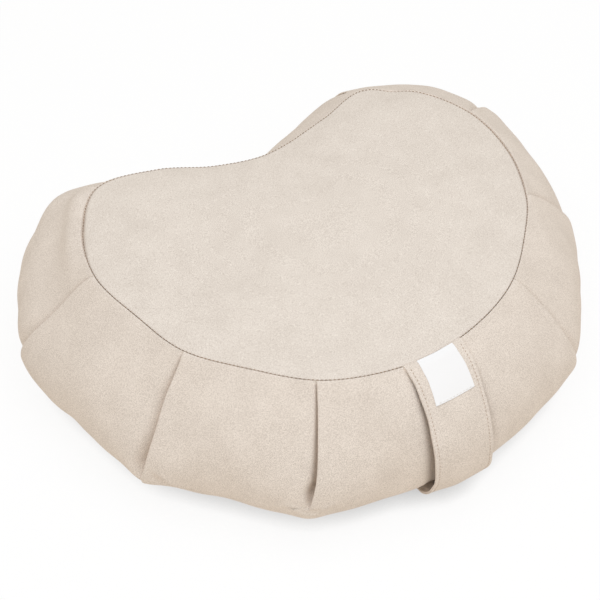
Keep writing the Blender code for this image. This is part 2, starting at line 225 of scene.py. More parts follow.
# ---------------------------------------------------------------- sizes of the finish
CANVAS = 1.2 * MM               # thickness of the panels' cloth
GROOVE_DEPTH = 0.45 * MM        # how far both edges turn down at the top seam
GROOVE_WIDTH = 0.5 * MM         # of each edge, and a part of its depth more
GROOVE_SPREAD = 0.12            # that part
SAG_REACH = 14 * MM             # how far from the seam its sag is felt
STRAP_DROP = 15 * MM            # how far the strap falls straight below the widest place
STRAP_TUCK = 15 * MM            # how far it is tucked in where it reaches the floor
STRAP_LEFT_TUCK = 4 * MM        # and its left edge beyond that
STITCH_INSET = 3 * MM           # topstitching from the strap's edge
STITCH_BITE = 0.35 * MM         # how deep the thread pulls into the cloth
STITCH_GROOVE = 1.1 * MM        # half the width that it pulls in
STRAP_PITCH = 2.8 * MM          # one stitch and the gap after it
STRAP_STITCH = 2.0 * MM
STRAP_THREAD = 0.45 * MM
SEAM_PITCH = 3.1 * MM
SEAM_STITCH = 1.9 * MM
SEAM_THREAD = 0.5 * MM
SEAM_THREAD_SUNK = 0.62         # how far down the groove it lies, as a share of the depth
SEAM_THREAD_OUT = 0.3 * MM      # outside the line of the seam
LABEL_THICK = 0.5 * MM
LABEL_LIFT = 0.35 * MM          # the label's middle above the strap's face
LABEL_SPLAY = 0.09              # the pull of its stitches widens its lower end
LABEL_PITCH = 3.0 * MM
LABEL_STITCH = 2.0 * MM
LABEL_THREAD = 0.4 * MM
THREAD_TWIST = 0.5 * MM         # length of one turn of the ply
YARN_SCALE = 1250               # per metre: the grain's lumps are 0.8 mm apart across the yarns
SLUB_SCALE = 500                # and 2 mm apart along them
GRAIN_RELIEF = 0.3 * MM         # height that the grain's bump stands for
FLECK_SCALE = 1700              # per metre: flecks 0.6 mm apart
CLOUD_SCALE = 45                # per metre: clouds of tone 22 mm apart
FLECK_WEIGHT = 3.8              # strength of the flecks against the clouds
SHADE_REACH = 26 * MM           # how far from the cushion the floor is shaded
REACH_LENGTH = 78 * MM          # length of cloth for one step of reach, used to place soft folds
SEAM_REACH_LENGTH = 100 * MM    # the same close to the top seam, used to place its roll
CLEARANCE = 0.3 * MM            # between the floor, the band and the strap


# ---------------------------------------------------------------- shared mathematics
def smooth(share):
    """Ease from 0 to 1 with level ends: 3s^2 - 2s^3."""
    share = np.clip(share, 0, 1)
    return share * share * (3 - 2 * share)


def spline(rows, steps, closed, measure=slice(0, 2)):
    """Cubic curve through rows; each row's slope is (next - last) over the two chords beside it.

    Chords are measured in the columns named by measure. An open curve repeats its end rows.
    """
    if not closed:
        rows = np.vstack([2 * rows[:1] - rows[1:2], rows, 2 * rows[-1:] - rows[-2:-1]])
    ahead = np.roll(rows, -1, axis=0)
    chord = np.linalg.norm((ahead - rows)[:, measure], axis=1)[:, None]
    slope = (ahead - np.roll(rows, 1, axis=0)) / (chord + np.roll(chord, 1, axis=0))
    slope_ahead = np.roll(slope, -1, axis=0)
    f = np.linspace(0, 1, steps, endpoint=False)[:, None, None]
    leave = chord * slope * f * (1 - f) ** 2
    arrive = -chord * slope_ahead * f * f * (1 - f)
    points = (rows + (ahead - rows) * smooth(f) + leave + arrive).transpose(1, 0, 2)
    if closed:
        return points.reshape(-1, rows.shape[1])
    return np.vstack([points[1:-2].reshape(-1, rows.shape[1]), rows[-2]])


def seam_table():
    """Arc lengths along the top seam, and x, y, bulge and shoulder there."""
    units = (MM, MM, MM, math.radians(1))
    ring = spline(np.array([station[1:5] for station in STATIONS]) * units, SPAN_STEPS, closed=True)
    ring = np.vstack([ring, ring[:1]])
    steps = np.linalg.norm(np.diff(ring[:, :2], axis=0), axis=1)
    return np.concatenate([[0], np.cumsum(steps)]), ring


SEAM_RUN, SEAM_RING = seam_table()
SEAM_LENGTH = SEAM_RUN[-1]
STATION_ARC = dict(zip([station[0] for station in STATIONS], SEAM_RUN[:-1:SPAN_STEPS]))


def solids_shift():
    """How far the solids' frame lies from the seam table's: their top panel's box is the seam's."""
    low, high = (np.array(corner)[:2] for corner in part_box("top_panel"))
    return (low + high) / 2 - (SEAM_RING[:, :2].min(axis=0) + SEAM_RING[:, :2].max(axis=0)) / 2


SHIFT = solids_shift()


def on_seam(arc):
    """Values of the seam table at arc lengths counted from the strap."""
    arc = np.mod(arc, SEAM_LENGTH)
    return np.stack([np.interp(arc, SEAM_RUN, column) for column in SEAM_RING.T], axis=-1)


def seam_frame(arc):
    """Seam point, level direction along the seam and level direction outwards."""
    along = on_seam(arc + NORMAL_REACH)[..., :2] - on_seam(arc - NORMAL_REACH)[..., :2]
    along /= np.linalg.norm(along, axis=-1, keepdims=True)
    outward = np.stack([along[..., 1], -along[..., 0]], axis=-1)
    return on_seam(arc)[..., :2], along, outward


def cubic(start, leave, arrive, end, f):
    """Bezier curve; the four points are (out, height) pairs."""
    weights = ((1 - f) ** 3, 3 * f * (1 - f) ** 2, 3 * f * f * (1 - f), f ** 3)
    pairs = (start, leave, arrive, end)
    return tuple(sum(w * pair[i] for w, pair in zip(weights, pairs)) for i in (0, 1))


def band_profile(reach, bulge, shoulder):
    """Section of the band as (out, height): two Bezier curves that meet upright at the widest."""
    top = (SEAM_OUT, SEAM_HEIGHT)
    widest = (bulge, WIDEST_HEIGHT)
    foot = (FOOT_OUT, PANEL_SEAT)
    fall = SHOULDER_HANDLE * bulge
    lift = FOOT_HANDLE * (bulge - FOOT_OUT)
    fullness = 1 - shoulder / STRAIGHT_SHOULDER
    leave_top = (top[0] + fall * np.cos(shoulder), top[1] - fall * np.sin(shoulder))
    reach_widest = (bulge, WIDEST_HEIGHT + fullness * (SEAM_HEIGHT - WIDEST_HEIGHT))
    leave_widest = (bulge, (1 - LOWER_HANDLE) * WIDEST_HEIGHT)
    reach_foot = (FOOT_OUT + lift * math.cos(FOOT_RISE), PANEL_SEAT + lift * math.sin(FOOT_RISE))
    upper = cubic(top, leave_top, reach_widest, widest, np.clip(reach, 0, 1))
    lower = cubic(widest, leave_widest, reach_foot, foot, np.clip(reach - 1, 0, 1))
    return tuple(np.where(reach < 1, above, below) for above, below in zip(upper, lower))


def crown_height(share):
    """Top of the top panel: the seam's height plus crown x (1 - share^power)."""
    return SEAM_HEIGHT + CROWN * (1 - share ** CROWN_POWER)


# ---------------------------------------------------------------- meshes
def grid_mesh(name, grid, uv, poles):
    """Closed surface from rings of points: grid is (rings, columns, 3), each ring closed on itself.

    poles are the points that close the first and the last ring, as fans. uv is (rings, columns + 1, 2)
    in metres of cloth, its last column repeating the first ring point one turn on.
    """
    rings, columns = grid.shape[:2]
    ring, column = np.meshgrid(np.arange(rings - 1), np.arange(columns), indexing="ij")
    after = (column + 1) % columns
    first = ring * columns
    second = first + columns
    quads = np.stack([first + column, second + column, second + after, first + after], -1).reshape(-1, 4)
    wide = columns + 1
    quad_uv = np.stack([ring * wide + column, (ring + 1) * wide + column,
                        (ring + 1) * wide + column + 1, ring * wide + column + 1], -1).reshape(-1, 4)
    turn = np.arange(columns)
    ahead = (turn + 1) % columns
    last = (rings - 1) * columns
    top, bottom = rings * columns, rings * columns + 1
    start_fan = np.stack([np.full(columns, top), turn, ahead], -1)
    end_fan = np.stack([np.full(columns, bottom), last + ahead, last + turn], -1)
    uv_rows = uv.reshape(-1, 2)
    pole_uv = np.stack([uv[0].mean(axis=0), uv[-1].mean(axis=0)])
    uv_rows = np.vstack([uv_rows, pole_uv])
    top_uv, bottom_uv = len(uv_rows) - 2, len(uv_rows) - 1
    last_uv = (rings - 1) * wide
    start_uv = np.stack([np.full(columns, top_uv), turn, turn + 1], -1)
    end_uv = np.stack([np.full(columns, bottom_uv), last_uv + turn + 1, last_uv + turn], -1)
    loops = np.concatenate([quads.ravel(), start_fan.ravel(), end_fan.ravel()])
    loop_uv = uv_rows[np.concatenate([quad_uv.ravel(), start_uv.ravel(), end_uv.ravel()])]
    sizes = np.concatenate([np.full(len(quads), 4), np.full(2 * columns, 3)])
    return mesh_object(name, np.vstack([grid.reshape(-1, 3), poles]), loops, sizes, loop_uv)


def mesh_object(name, points, loops, sizes, loop_uv):
    """Mesh object from whole arrays: points, the faces' corners one after another, and corner UVs."""
    mesh = bpy.data.meshes.new(name)
    mesh.vertices.add(len(points))
    mesh.vertices.foreach_set("co", np.ascontiguousarray(points, dtype=np.float32).ravel())
    mesh.loops.add(len(loops))
    mesh.loops.foreach_set("vertex_index", loops.astype(np.int32))
    mesh.polygons.add(len(sizes))
    starts = np.concatenate([[0], np.cumsum(sizes)[:-1]])
    mesh.polygons.foreach_set("loop_start", starts.astype(np.int32))
    mesh.update(calc_edges=True)
    layer = mesh.uv_layers.new(name="cloth")
    layer.data.foreach_set("uv", loop_uv.astype(np.float32).ravel())
    mesh.validate()
    mesh.shade_smooth()
    thing = bpy.data.objects.new(name, mesh)
    bpy.context.scene.collection.objects.link(thing)
    return thing


def placed(flat, height):
    """Points in the solids' frame from level points in the seam table's frame and heights."""
    height = np.broadcast_to(height, flat.shape[:-1])
    return np.concatenate([flat + SHIFT, height[..., None]], axis=-1)


# ---------------------------------------------------------------- the filled body
def round_seam(arc, rows):
    """Sum of humps round the seam, height x exp(-(distance / length)^2), from rows in mm."""
    total = np.zeros_like(arc)
    for middle, length, height in rows:
        away = np.mod(arc / MM - middle + SEAM_LENGTH / MM / 2, SEAM_LENGTH / MM) - SEAM_LENGTH / MM / 2
        total = total + height * MM * np.exp(-(away / length) ** 2)
    return total


def groove_depth(arc):
    """How far both edges turn down into the top seam."""
    return GROOVE_DEPTH + round_seam(arc, [row[:3] for row in SEAM_DRAWS])


def in_groove(distance, depth):
    """Drop of the cloth near the seam: depth x exp(-(distance / (width + spread x depth))^2)."""
    return depth * np.exp(-(distance / (GROOVE_WIDTH + GROOVE_SPREAD * depth)) ** 2)


def seam_sag(arc):
    """How far the top seam lies below its level height."""
    return round_seam(arc, [(row[0], row[1], row[3]) for row in SEAM_DRAWS])


def pleat_section(lap):
    """The pleat's section as fine columns of (open, side, wide, deep, proud), mirrored for lap -1."""
    rows = np.array(PLEAT_SECTION)
    drawn_along = rows[:, 1] + rows[:, 2] * SECTION_WIDTH
    drawn_out = rows[:, 4] - rows[:, 3] * SECTION_DEPTH
    rows = np.column_stack([rows, drawn_along, drawn_out])
    fine = spline(rows, SECTION_STEPS, closed=False, measure=slice(5, 7))[:, :5]
    return fine if lap > 0 else fine[::-1] * (-1, -1, -1, 1, 1)


def band_columns():
    """Columns of the band round the seam, as an array for each of their values."""
    heads = [STATION_ARC[name] for name, _, _ in PLEATS]
    edge = PLEAT_SECTION[-1][0] * MM
    count = len(PLEATS)
    columns = []
    for index, (name, lap, _) in enumerate(PLEATS):
        head = heads[index]
        after = (index + 1) % count
        gap_before = (head - heads[index - 1]) % SEAM_LENGTH
        gap = (heads[after] - head) % SEAM_LENGTH
        flat, side, wide, deep, proud = pleat_section(lap).T
        drawn = np.sin(math.pi * np.abs(flat * MM) / np.where(flat < 0, gap_before, gap)) ** 2
        none = np.zeros_like(flat)
        columns.append(np.stack([head + none, flat * MM, side * MM, wide, deep, proud * MM, drawn,
                                 index + none, after + none, none]))
        steps = round((gap - 2 * edge) / COLUMN_PITCH)
        share = np.linspace(0, 1, steps + 2)[1:-1]
        flat = edge + share * (gap - 2 * edge)
        none = np.zeros_like(flat)
        columns.append(np.stack([head + none, flat, flat, none, none, none, np.sin(math.pi * flat / gap) ** 2,
                                 index + none, after + none, smooth(share)]))
    names = ("head", "flat", "side", "wide", "deep", "proud", "drawn", "pleat", "after", "share")
    table = dict(zip(names, np.concatenate(columns, axis=1)))
    table["pleat"], table["after"] = table["pleat"].astype(int), table["after"].astype(int)
    return table


def band_reach():
    """Rows of the band: close together where the cloth rolls into the top seam, then even."""
    roll = np.array((0, 0.3, 0.7, 1.2, 2, 3.2, 5)) * MM / SEAM_REACH_LENGTH
    even = np.linspace(roll[-1], 2, BAND_ROWS)[1:]
    return np.concatenate([roll, even])


def pleat_runs(reach):
    """Depth, width and shift along the seam of every pleat at every reach, through its rows."""
    runs = []
    for _, _, rows in PLEATS:
        fine = spline(np.array(rows, dtype=float), RUN_STEPS, closed=False, measure=slice(0, 1))
        runs.append([np.interp(reach, fine[:, 0], fine[:, value]) * MM for value in (1, 2, 3)])
    depth, width, along = np.array(runs).transpose(1, 2, 0)
    return np.maximum(depth, 0), width, along


def soft_folds(arc, reach):
    """Sum of the soft folds, each height x exp(-(along / length)^2 - (across / width)^2).

    They fade to nothing at both seams.
    """
    total = np.zeros_like(arc)
    for middle, middle_reach, length, width, turn, height in SOFT_FOLDS:
        level = np.mod(arc - middle * MM + SEAM_LENGTH / 2, SEAM_LENGTH) - SEAM_LENGTH / 2
        down = (reach - middle_reach) * REACH_LENGTH
        cosine, sine = math.cos(math.radians(turn)), math.sin(math.radians(turn))
        along = (level * cosine + down * sine) / (length * MM)
        across = (down * cosine - level * sine) / (width * MM)
        total = total + height * MM * np.exp(-along ** 2 - across ** 2)
    return total * smooth(reach / 0.06) * smooth((2 - reach) / 0.2)


def fill_waves(arc, reach):
    """Unevenness of the band: the sum of height x sin(cycles round + cycles down + turn).

    It fades to nothing at both seams.
    """
    total = np.zeros_like(arc)
    for around, down, turn, height in FILL_WAVES:
        cycles = around * arc / SEAM_LENGTH + down * reach / 2
        total = total + height * MM * np.sin(2 * math.pi * cycles + turn)
    return total * smooth(reach / 0.15) * smooth((2 - reach) / 0.3)


def band_surface(reach, columns):
    """Points of the band: the profile swept round the seam, its pleats and folds along its normal."""
    depth, width, along = pleat_runs(reach)
    reach = reach[:, None]
    pleat, share = columns["pleat"], columns["share"]
    depth, width = depth[:, pleat], width[:, pleat]
    folding = smooth(depth / FOLD_DEPTH)
    side = columns["side"] + columns["wide"] * width
    arc = columns["head"] + columns["flat"] * (1 - folding) + side * folding
    arc = arc + along[:, pleat] * (1 - share) + along[:, columns["after"]] * share
    point, _, outward = seam_frame(arc)
    bulge, shoulder = np.moveaxis(on_seam(arc)[..., 2:], -1, 0)
    bulge = bulge - PANEL_DRAW * columns["drawn"]
    away, height = band_profile(reach, bulge, shoulder)
    before = band_profile(np.maximum(reach - 0.01, 0), bulge, shoulder)
    after = band_profile(np.minimum(reach + 0.01, 2), bulge, shoulder)
    run, fall = after[0] - before[0], before[1] - after[1]
    steep = np.hypot(run, fall)
    raised = columns["proud"] * folding - columns["deep"] * depth
    raised = raised + soft_folds(arc, reach) + fill_waves(arc, reach)
    away = away + raised * fall / steep
    height = height + raised * run / steep
    down = reach * SEAM_REACH_LENGTH
    height = height - in_groove(down, groove_depth(arc))
    height = height - seam_sag(arc) * np.exp(-(down / SAG_REACH) ** 2)
    return placed(point + outward * away[..., None], np.maximum(height, CLEARANCE))


def run_lengths(points, axis):
    """Lengths run from the first point, along one axis of a grid of points, averaged over the other."""
    steps = np.linalg.norm(np.diff(points, axis=axis), axis=-1).mean(axis=1 - axis)
    return np.concatenate([[0], np.cumsum(steps)])


def filled_body():
    """The pleated band over the fill, closed under the top panel and on the bottom panel."""
    columns = band_columns()
    reach = band_reach()
    band = band_surface(reach, columns)
    seam, _, _ = seam_frame(columns["head"] + columns["flat"])
    under = [(share, crown_height(share) - 2.6 * MM) for share in (0.3, 0.6, 0.85, 0.93)]
    under += [(0.97, SEAM_HEIGHT - 6 * MM), (0.99, SEAM_HEIGHT - 8 * MM)]
    cap = [placed(MIDDLE + (seam - MIDDLE) * share, height) for share, height in under]
    base = [placed(MIDDLE + (band[-1, :, :2] - SHIFT - MIDDLE) * share, PANEL_SEAT) for share in (0.8, 0.4)]
    grid = np.concatenate([np.stack(cap), band, np.stack(base)])
    down = run_lengths(band, 0)
    down = np.concatenate([np.linspace(-0.02, -0.002, len(cap)), down, down[-1] + np.array((0.01, 0.02))])
    middle = band[len(reach) // 3:len(reach) // 3 + 1]
    round_band = run_lengths(np.concatenate([middle, middle[:, :1]], axis=1), 1)
    uv = np.stack(np.broadcast_arrays(round_band, down[:, None]), axis=-1)
    poles = [(*(MIDDLE + SHIFT), crown_height(0) - PANEL_SEAT), (*(MIDDLE + SHIFT), PANEL_SEAT)]
    return grid_mesh("filled_body", grid, uv, poles)


# ---------------------------------------------------------------- the two panels
def panel(name, arc, rim_offset, rings, pole_heights):
    """A crescent of cloth from rings of (share, height): its upper side outwards, then back under."""
    seam, _, outward = seam_frame(arc)
    rim = seam + outward * rim_offset
    grid = np.stack([placed(MIDDLE + (rim - MIDDLE) * share, height) for share, height in rings])
    poles = [(*(MIDDLE + SHIFT), height) for height in pole_heights]
    uv = np.concatenate([grid, grid[:, :1]], axis=1)[..., :2]
    return grid_mesh(name, grid, uv, poles)


def top_panel():
    """Crowned crescent whose edge rolls down into the seam."""
    size = 150 * MM
    arc = np.linspace(0, SEAM_LENGTH, PANEL_COLUMNS, endpoint=False)
    groove, sag = groove_depth(arc), seam_sag(arc)
    near = np.array((0, 0.3, 0.7, 1.2, 2, 3.2, 5, 8)) * MM / size
    shares = np.concatenate([np.linspace(0, 1 - near[-1], 44)[1:], (1 - near[:-1])[::-1]])

    def surface(share, below):
        """Crown less the groove and the sag, each fading with (distance from the rim / reach)^2."""
        inside = (1 - share) * size
        turn = in_groove(inside, groove) + sag * math.exp(-(inside / SAG_REACH) ** 2)
        return crown_height(share) - below - turn

    rings = [(share, surface(share, 0)) for share in shares]
    rings += [(share * 0.9985, surface(share, CANVAS)) for share in (1, 0.99, 0.97, 0.8, 0.4)]
    return panel("top_panel_cloth", arc, 0, rings, (crown_height(0), crown_height(0) - CANVAS))


def bottom_panel():
    """Flat crescent that the cushion lies on."""
    arc = np.linspace(0, SEAM_LENGTH, PANEL_COLUMNS, endpoint=False)
    rings = [(0.5, 1.5 * MM), (0.997, 1.5 * MM), (1, 1.1 * MM), (1, 0.3 * MM), (0.997, 0), (0.5, 0)]
    return panel("bottom_panel_cloth", arc, FOOT_OUT - 0.6 * MM, rings, (1.5 * MM, 0))


# ---------------------------------------------------------------- strap and label
def lifted(out, height, distance):
    """A path of (out, height) moved outwards along its own normals by a distance."""
    slope_out, slope_height = np.gradient(out), np.gradient(height)
    steep = np.hypot(slope_out, slope_height)
    return out - slope_height / steep * distance, height + slope_out / steep * distance


def strap_path(rows):
    """Middle line of the strap as (out, height, reach): along the band, then in under it."""
    bulge, shoulder = on_seam(0)[2:]
    reach = np.linspace(0, 2, rows)
    above = reach <= 1
    stand_off = CLEARANCE + STRAP_THICK / 2 + STRAP_STAND_OFF * smooth(reach[above])
    stand_off = stand_off - STRAP_SUNK * (1 - smooth(reach[above] / STRAP_SUNK_REACH))
    out, height = lifted(*band_profile(reach[above], bulge - PANEL_DRAW, shoulder), stand_off)
    widest = (out[-1], height[-1])
    foot = (FOOT_OUT + STRAP_THICK, STRAP_THICK / 2)
    leave = (widest[0], widest[1] - STRAP_DROP)
    arrive = (widest[0] - STRAP_TUCK, STRAP_THICK / 2)
    lower = cubic(widest, leave, arrive, foot, reach[~above] - 1)
    return np.concatenate([out, lower[0]]), np.concatenate([height, lower[1]]), reach


def path_run(out, height):
    """Length of cloth from the path's start to each of its points."""
    return np.concatenate([[0], np.cumsum(np.hypot(np.diff(out), np.diff(height)))])


def strip_section(width, thickness, layers, stitch_inset=0.0, stitch_bite=0.0):
    """Outline of a strip's section as (across, through): layers with round edges.

    It is drawn in at a stitch line on both faces. The points across are closer together towards
    both edges, as the sine of even steps.
    """
    half = thickness / 2
    radius = half / layers
    steps = 45 if stitch_bite else 25
    across = (width / 2 - radius) * np.sin(np.linspace(-math.pi / 2, math.pi / 2, steps))
    bite = stitch_bite * np.exp(-((np.abs(across) - width / 2 + stitch_inset) / STITCH_GROOVE) ** 2)
    turn = np.linspace(math.pi / 2, -math.pi / 2, 7)
    edge = width / 2 - radius + radius * np.cos(turn)
    right = []
    for layer in range(layers):
        middle = half - radius * (2 * layer + 1)
        round_edge = np.stack([edge, middle + radius * np.sin(turn)], -1)
        right.append(round_edge[1:] if layer else round_edge)
    right = np.concatenate(right)
    upper = np.stack([across, half - bite], -1)
    lower = upper[::-1] * (1, -1)
    left = right[::-1] * (-1, 1)
    return np.concatenate([upper[1:-1], right, lower[1:-1], left])


def on_strap(path, run, across, through):
    """Points at the strap: a run down a path over the band, across it and through its cloth.

    The strap is stiff, so its edges follow the band's turn only in part. It leans sideways, and its
    left edge is tucked in further towards the foot.
    """
    lengths = path_run(path[0], path[1])
    slopes = [np.gradient(values, lengths) for values in path[:2]]
    at_run = [np.interp(run, lengths, values) for values in (*path, *slopes)]
    out, height, reach, slope_out, slope_height = at_run
    point, along, outward = seam_frame(0.0)
    drop = (on_seam(across)[..., :2] - point) @ outward
    follow = 1 - STRAP_STIFFNESS * smooth(reach / 0.8) * smooth((2 - reach) / 0.4)
    left_tuck = STRAP_LEFT_TUCK * smooth(-across / STRAP_WIDTH * 2) * smooth((reach - 0.7) / 0.5)
    away = out + follow * drop - left_tuck - slope_height * through
    rise = np.maximum(height + slope_out * through, 0.1 * MM)
    sway = spline(np.array(STRAP_SWAY, dtype=float), RUN_STEPS, closed=False, measure=slice(0, 1))
    aside = across + STRAP_SLANT * out + np.interp(reach, *sway.T) * MM
    return placed(point + aside[..., None] * along + away[..., None] * outward, rise)


def strip(name, path, section, sideways=0.0, splay=0.0, waviness=0.0):
    """A section carried along a path over the band at the strap.

    It widens by splay from end to end, and both edges wander by two slow sines of the run.
    """
    lengths = path_run(path[0], path[1])
    run = lengths[:, None]
    across, through = section.T
    wander = np.sin(run / (9 * MM)) + 0.6 * np.sin(run / (4.1 * MM) + 1)
    across = across * (1 + splay * run / lengths[-1]) + waviness * wander * np.sign(across)
    grid = on_strap(path, run, across + sideways, through)
    girth = np.concatenate([[0], np.cumsum(np.linalg.norm(np.diff(section, axis=0), axis=1))])
    girth = np.append(girth, girth[-1] + np.linalg.norm(section[0] - section[-1]))
    uv = np.stack(np.broadcast_arrays(girth, run), axis=-1)
    poles = [grid[0].mean(axis=0), grid[-1].mean(axis=0)]
    return grid_mesh(name, grid, uv, poles)


def handle_strap():
    """Carrying strap: two layers of canvas from the top seam down over the band and under it."""
    section = strip_section(STRAP_WIDTH, STRAP_THICK, 2, STITCH_INSET, STITCH_BITE)
    return strip("strap_cloth", strap_path(STRAP_ROWS), section, waviness=0.25 * MM)


def label_path(rows):
    """Middle line of the label: the strap's, lifted on to its face, for the label's length."""
    out, height, reach = strap_path(2 * rows)
    out, height = lifted(out, height, STRAP_THICK / 2 + LABEL_LIFT)
    places = np.linspace(0, LABEL_LENGTH, rows)
    return [np.interp(places, path_run(out, height), values) for values in (out, height, reach)]


def label():
    """Bare satin label on the strap, its upper end in the top seam."""
    section = strip_section(LABEL_WIDTH, LABEL_THICK, 1)
    return strip("label_tab", label_path(LABEL_ROWS), section, LABEL_SIDEWAYS, splay=LABEL_SPLAY)


# ---------------------------------------------------------------- threads
def stitches(name, start, end, up, radius):
    """Stitches as one mesh: each a bead from start to end whose middle arches up out of the cloth.

    With t from -1 to 1 along a stitch, its rings have the radius x sqrt(1 - t^4) and stand above
    the cloth by radius x (1 - 2 t^2), so its middle is proud of it and its ends are sunk in it.
    """
    t = np.array((-0.92, -0.5, 0.0, 0.5, 0.92))
    turn = np.linspace(0, 2 * math.pi, 6, endpoint=False)
    along = end - start
    unit = along / np.linalg.norm(along, axis=-1, keepdims=True)
    side = np.cross(unit, up)
    side /= np.linalg.norm(side, axis=-1, keepdims=True)
    lift = np.cross(side, unit)
    middle = (start + end)[:, None] / 2 + along[:, None] / 2 * t[:, None]
    middle = middle + lift[:, None] * (radius * (1 - 2 * t ** 2))[:, None]
    thick = radius * np.sqrt(1 - t ** 4)
    ring = side[:, None, None] * np.cos(turn)[:, None] + lift[:, None, None] * np.sin(turn)[:, None]
    beads = middle[:, :, None] + ring * thick[:, None, None]
    count, rings, sides = beads.shape[:3]
    tips = np.stack([start - lift * radius, end - lift * radius], axis=1)
    points = np.concatenate([beads.reshape(count, -1, 3), tips], axis=1)
    ring_at, turn_at = np.meshgrid(np.arange(rings - 1), np.arange(sides), indexing="ij")
    after = (turn_at + 1) % sides
    quads = np.stack([ring_at * sides + turn_at, (ring_at + 1) * sides + turn_at,
                      (ring_at + 1) * sides + after, ring_at * sides + after], -1).reshape(-1)
    turn_at = np.arange(sides)
    after = (turn_at + 1) % sides
    last = (rings - 1) * sides
    start_fan = np.stack([turn_at, after, np.full(sides, rings * sides)], -1).reshape(-1)
    end_fan = np.stack([last + after, last + turn_at, np.full(sides, rings * sides + 1)], -1).reshape(-1)
    pattern = np.concatenate([quads, start_fan, end_fan])
    loops = (pattern[None] + np.arange(count)[:, None] * (rings * sides + 2)).ravel()
    sizes = np.tile(np.concatenate([np.full(len(quads) // 4, 4), np.full(2 * sides, 3)]), count)
    uv = points.reshape(-1, 3)[loops][:, :2]
    return mesh_object(name, points.reshape(-1, 3), loops, sizes, uv)


def seam_stitches():
    """Thread of the top seam, showing as dashes down in the groove; its dark brown is partly its own colour
    and partly painted shade of the groove.
    """
    heads = np.arange(0, SEAM_LENGTH, SEAM_PITCH)
    ends = []
    for arc in (heads, heads + SEAM_STITCH):
        seam, _, outward = seam_frame(arc)
        height = SEAM_HEIGHT - groove_depth(arc) * SEAM_THREAD_SUNK - seam_sag(arc)
        ends.append(placed(seam + outward * SEAM_THREAD_OUT, height))
    up = np.broadcast_to(np.array((0.0, 0.0, 1.0)), ends[0].shape)
    return stitches("seam_thread", ends[0], ends[1], up, SEAM_THREAD / 2)


def stitches_on_strip(name, path, runs, acrosses, through, radius):
    """Stitches on a strip over the band, from the runs and places across of both their ends."""
    ends = [on_strap(path, run, across, through) for run, across in zip(runs, acrosses)]
    up = on_strap(path, runs[0], acrosses[0], through + 1 * MM) - ends[0]
    return stitches(name, *ends, up, radius)


def strap_stitches():
    """Topstitching down both edges of the strap."""
    path = strap_path(STRAP_ROWS)
    edge = STRAP_WIDTH / 2 - STITCH_INSET
    starts = np.arange(4 * MM, 146 * MM, STRAP_PITCH)
    runs = np.tile(starts, 2)
    across = np.repeat((-edge, edge), len(starts))
    through = STRAP_THICK / 2 - STITCH_BITE
    return stitches_on_strip("strap_topstitching", path, (runs, runs + STRAP_STITCH),
                             (across, across), through, STRAP_THREAD / 2)


def label_stitches():
    """Row of stitches that holds the label's lower end to the strap."""
    starts = np.arange(-LABEL_WIDTH / 2 + 1.5 * MM, LABEL_WIDTH / 2 - 2 * MM, LABEL_PITCH)
    starts = starts + LABEL_SIDEWAYS
    runs = np.full(len(starts), LABEL_LENGTH - 1.2 * MM)
    return stitches_on_strip("label_stitching", label_path(LABEL_ROWS), (runs, runs),
                             (starts, starts + LABEL_STITCH), LABEL_THICK / 2, LABEL_THREAD / 2)


# ---------------------------------------------------------------- materials
def linear(code):
    """sRGB hex code as linear red, green, blue, alpha."""
    parts = np.array([int(code[i:i + 2], 16) for i in (1, 3, 5)]) / 255
    parts = np.where(parts <= 0.04045, parts / 12.92, ((parts + 0.055) / 1.055) ** 2.4)
    return (*parts.tolist(), 1.0)


def node(tree, kind, settings=(), sockets=()):
    """Add a node; settings are its own options, sockets its inputs' values or what they link to."""
    made = tree.nodes.new(kind)
    for key, value in dict(settings).items():
        setattr(made, key, value)
    for key, value in dict(sockets).items():
        if isinstance(value, bpy.types.NodeSocket):
            tree.links.new(value, made.inputs[key])
        else:
            made.inputs[key].default_value = value
    return made


def new_material(name, roughness, sockets=()):
    """Material with a Principled shader whose even values are set on its own sockets."""
    material = bpy.data.materials.new(name)
    material.use_nodes = True
    shader = material.node_tree.nodes["Principled BSDF"]
    shader.inputs["Roughness"].default_value = roughness
    for key, value in dict(sockets).items():
        shader.inputs[key].default_value = value
    return material, material.node_tree, shader


def noise(tree, vector, scale, detail):
    """Noise texture's value, its lumps 1 / scale apart."""
    sockets = {"Vector": vector, "Scale": scale, "Detail": detail}
    return node(tree, "ShaderNodeTexNoise", sockets=sockets).outputs["Fac"]


def slubs(tree, cloth, across, along):
    """Noise stretched along one thread direction of the cloth, in lumps per metre."""
    scale = (across, along, 1)
    mapping = node(tree, "ShaderNodeMapping", sockets={"Vector": cloth, "Scale": scale})
    return noise(tree, mapping.outputs["Vector"], 1, 1)


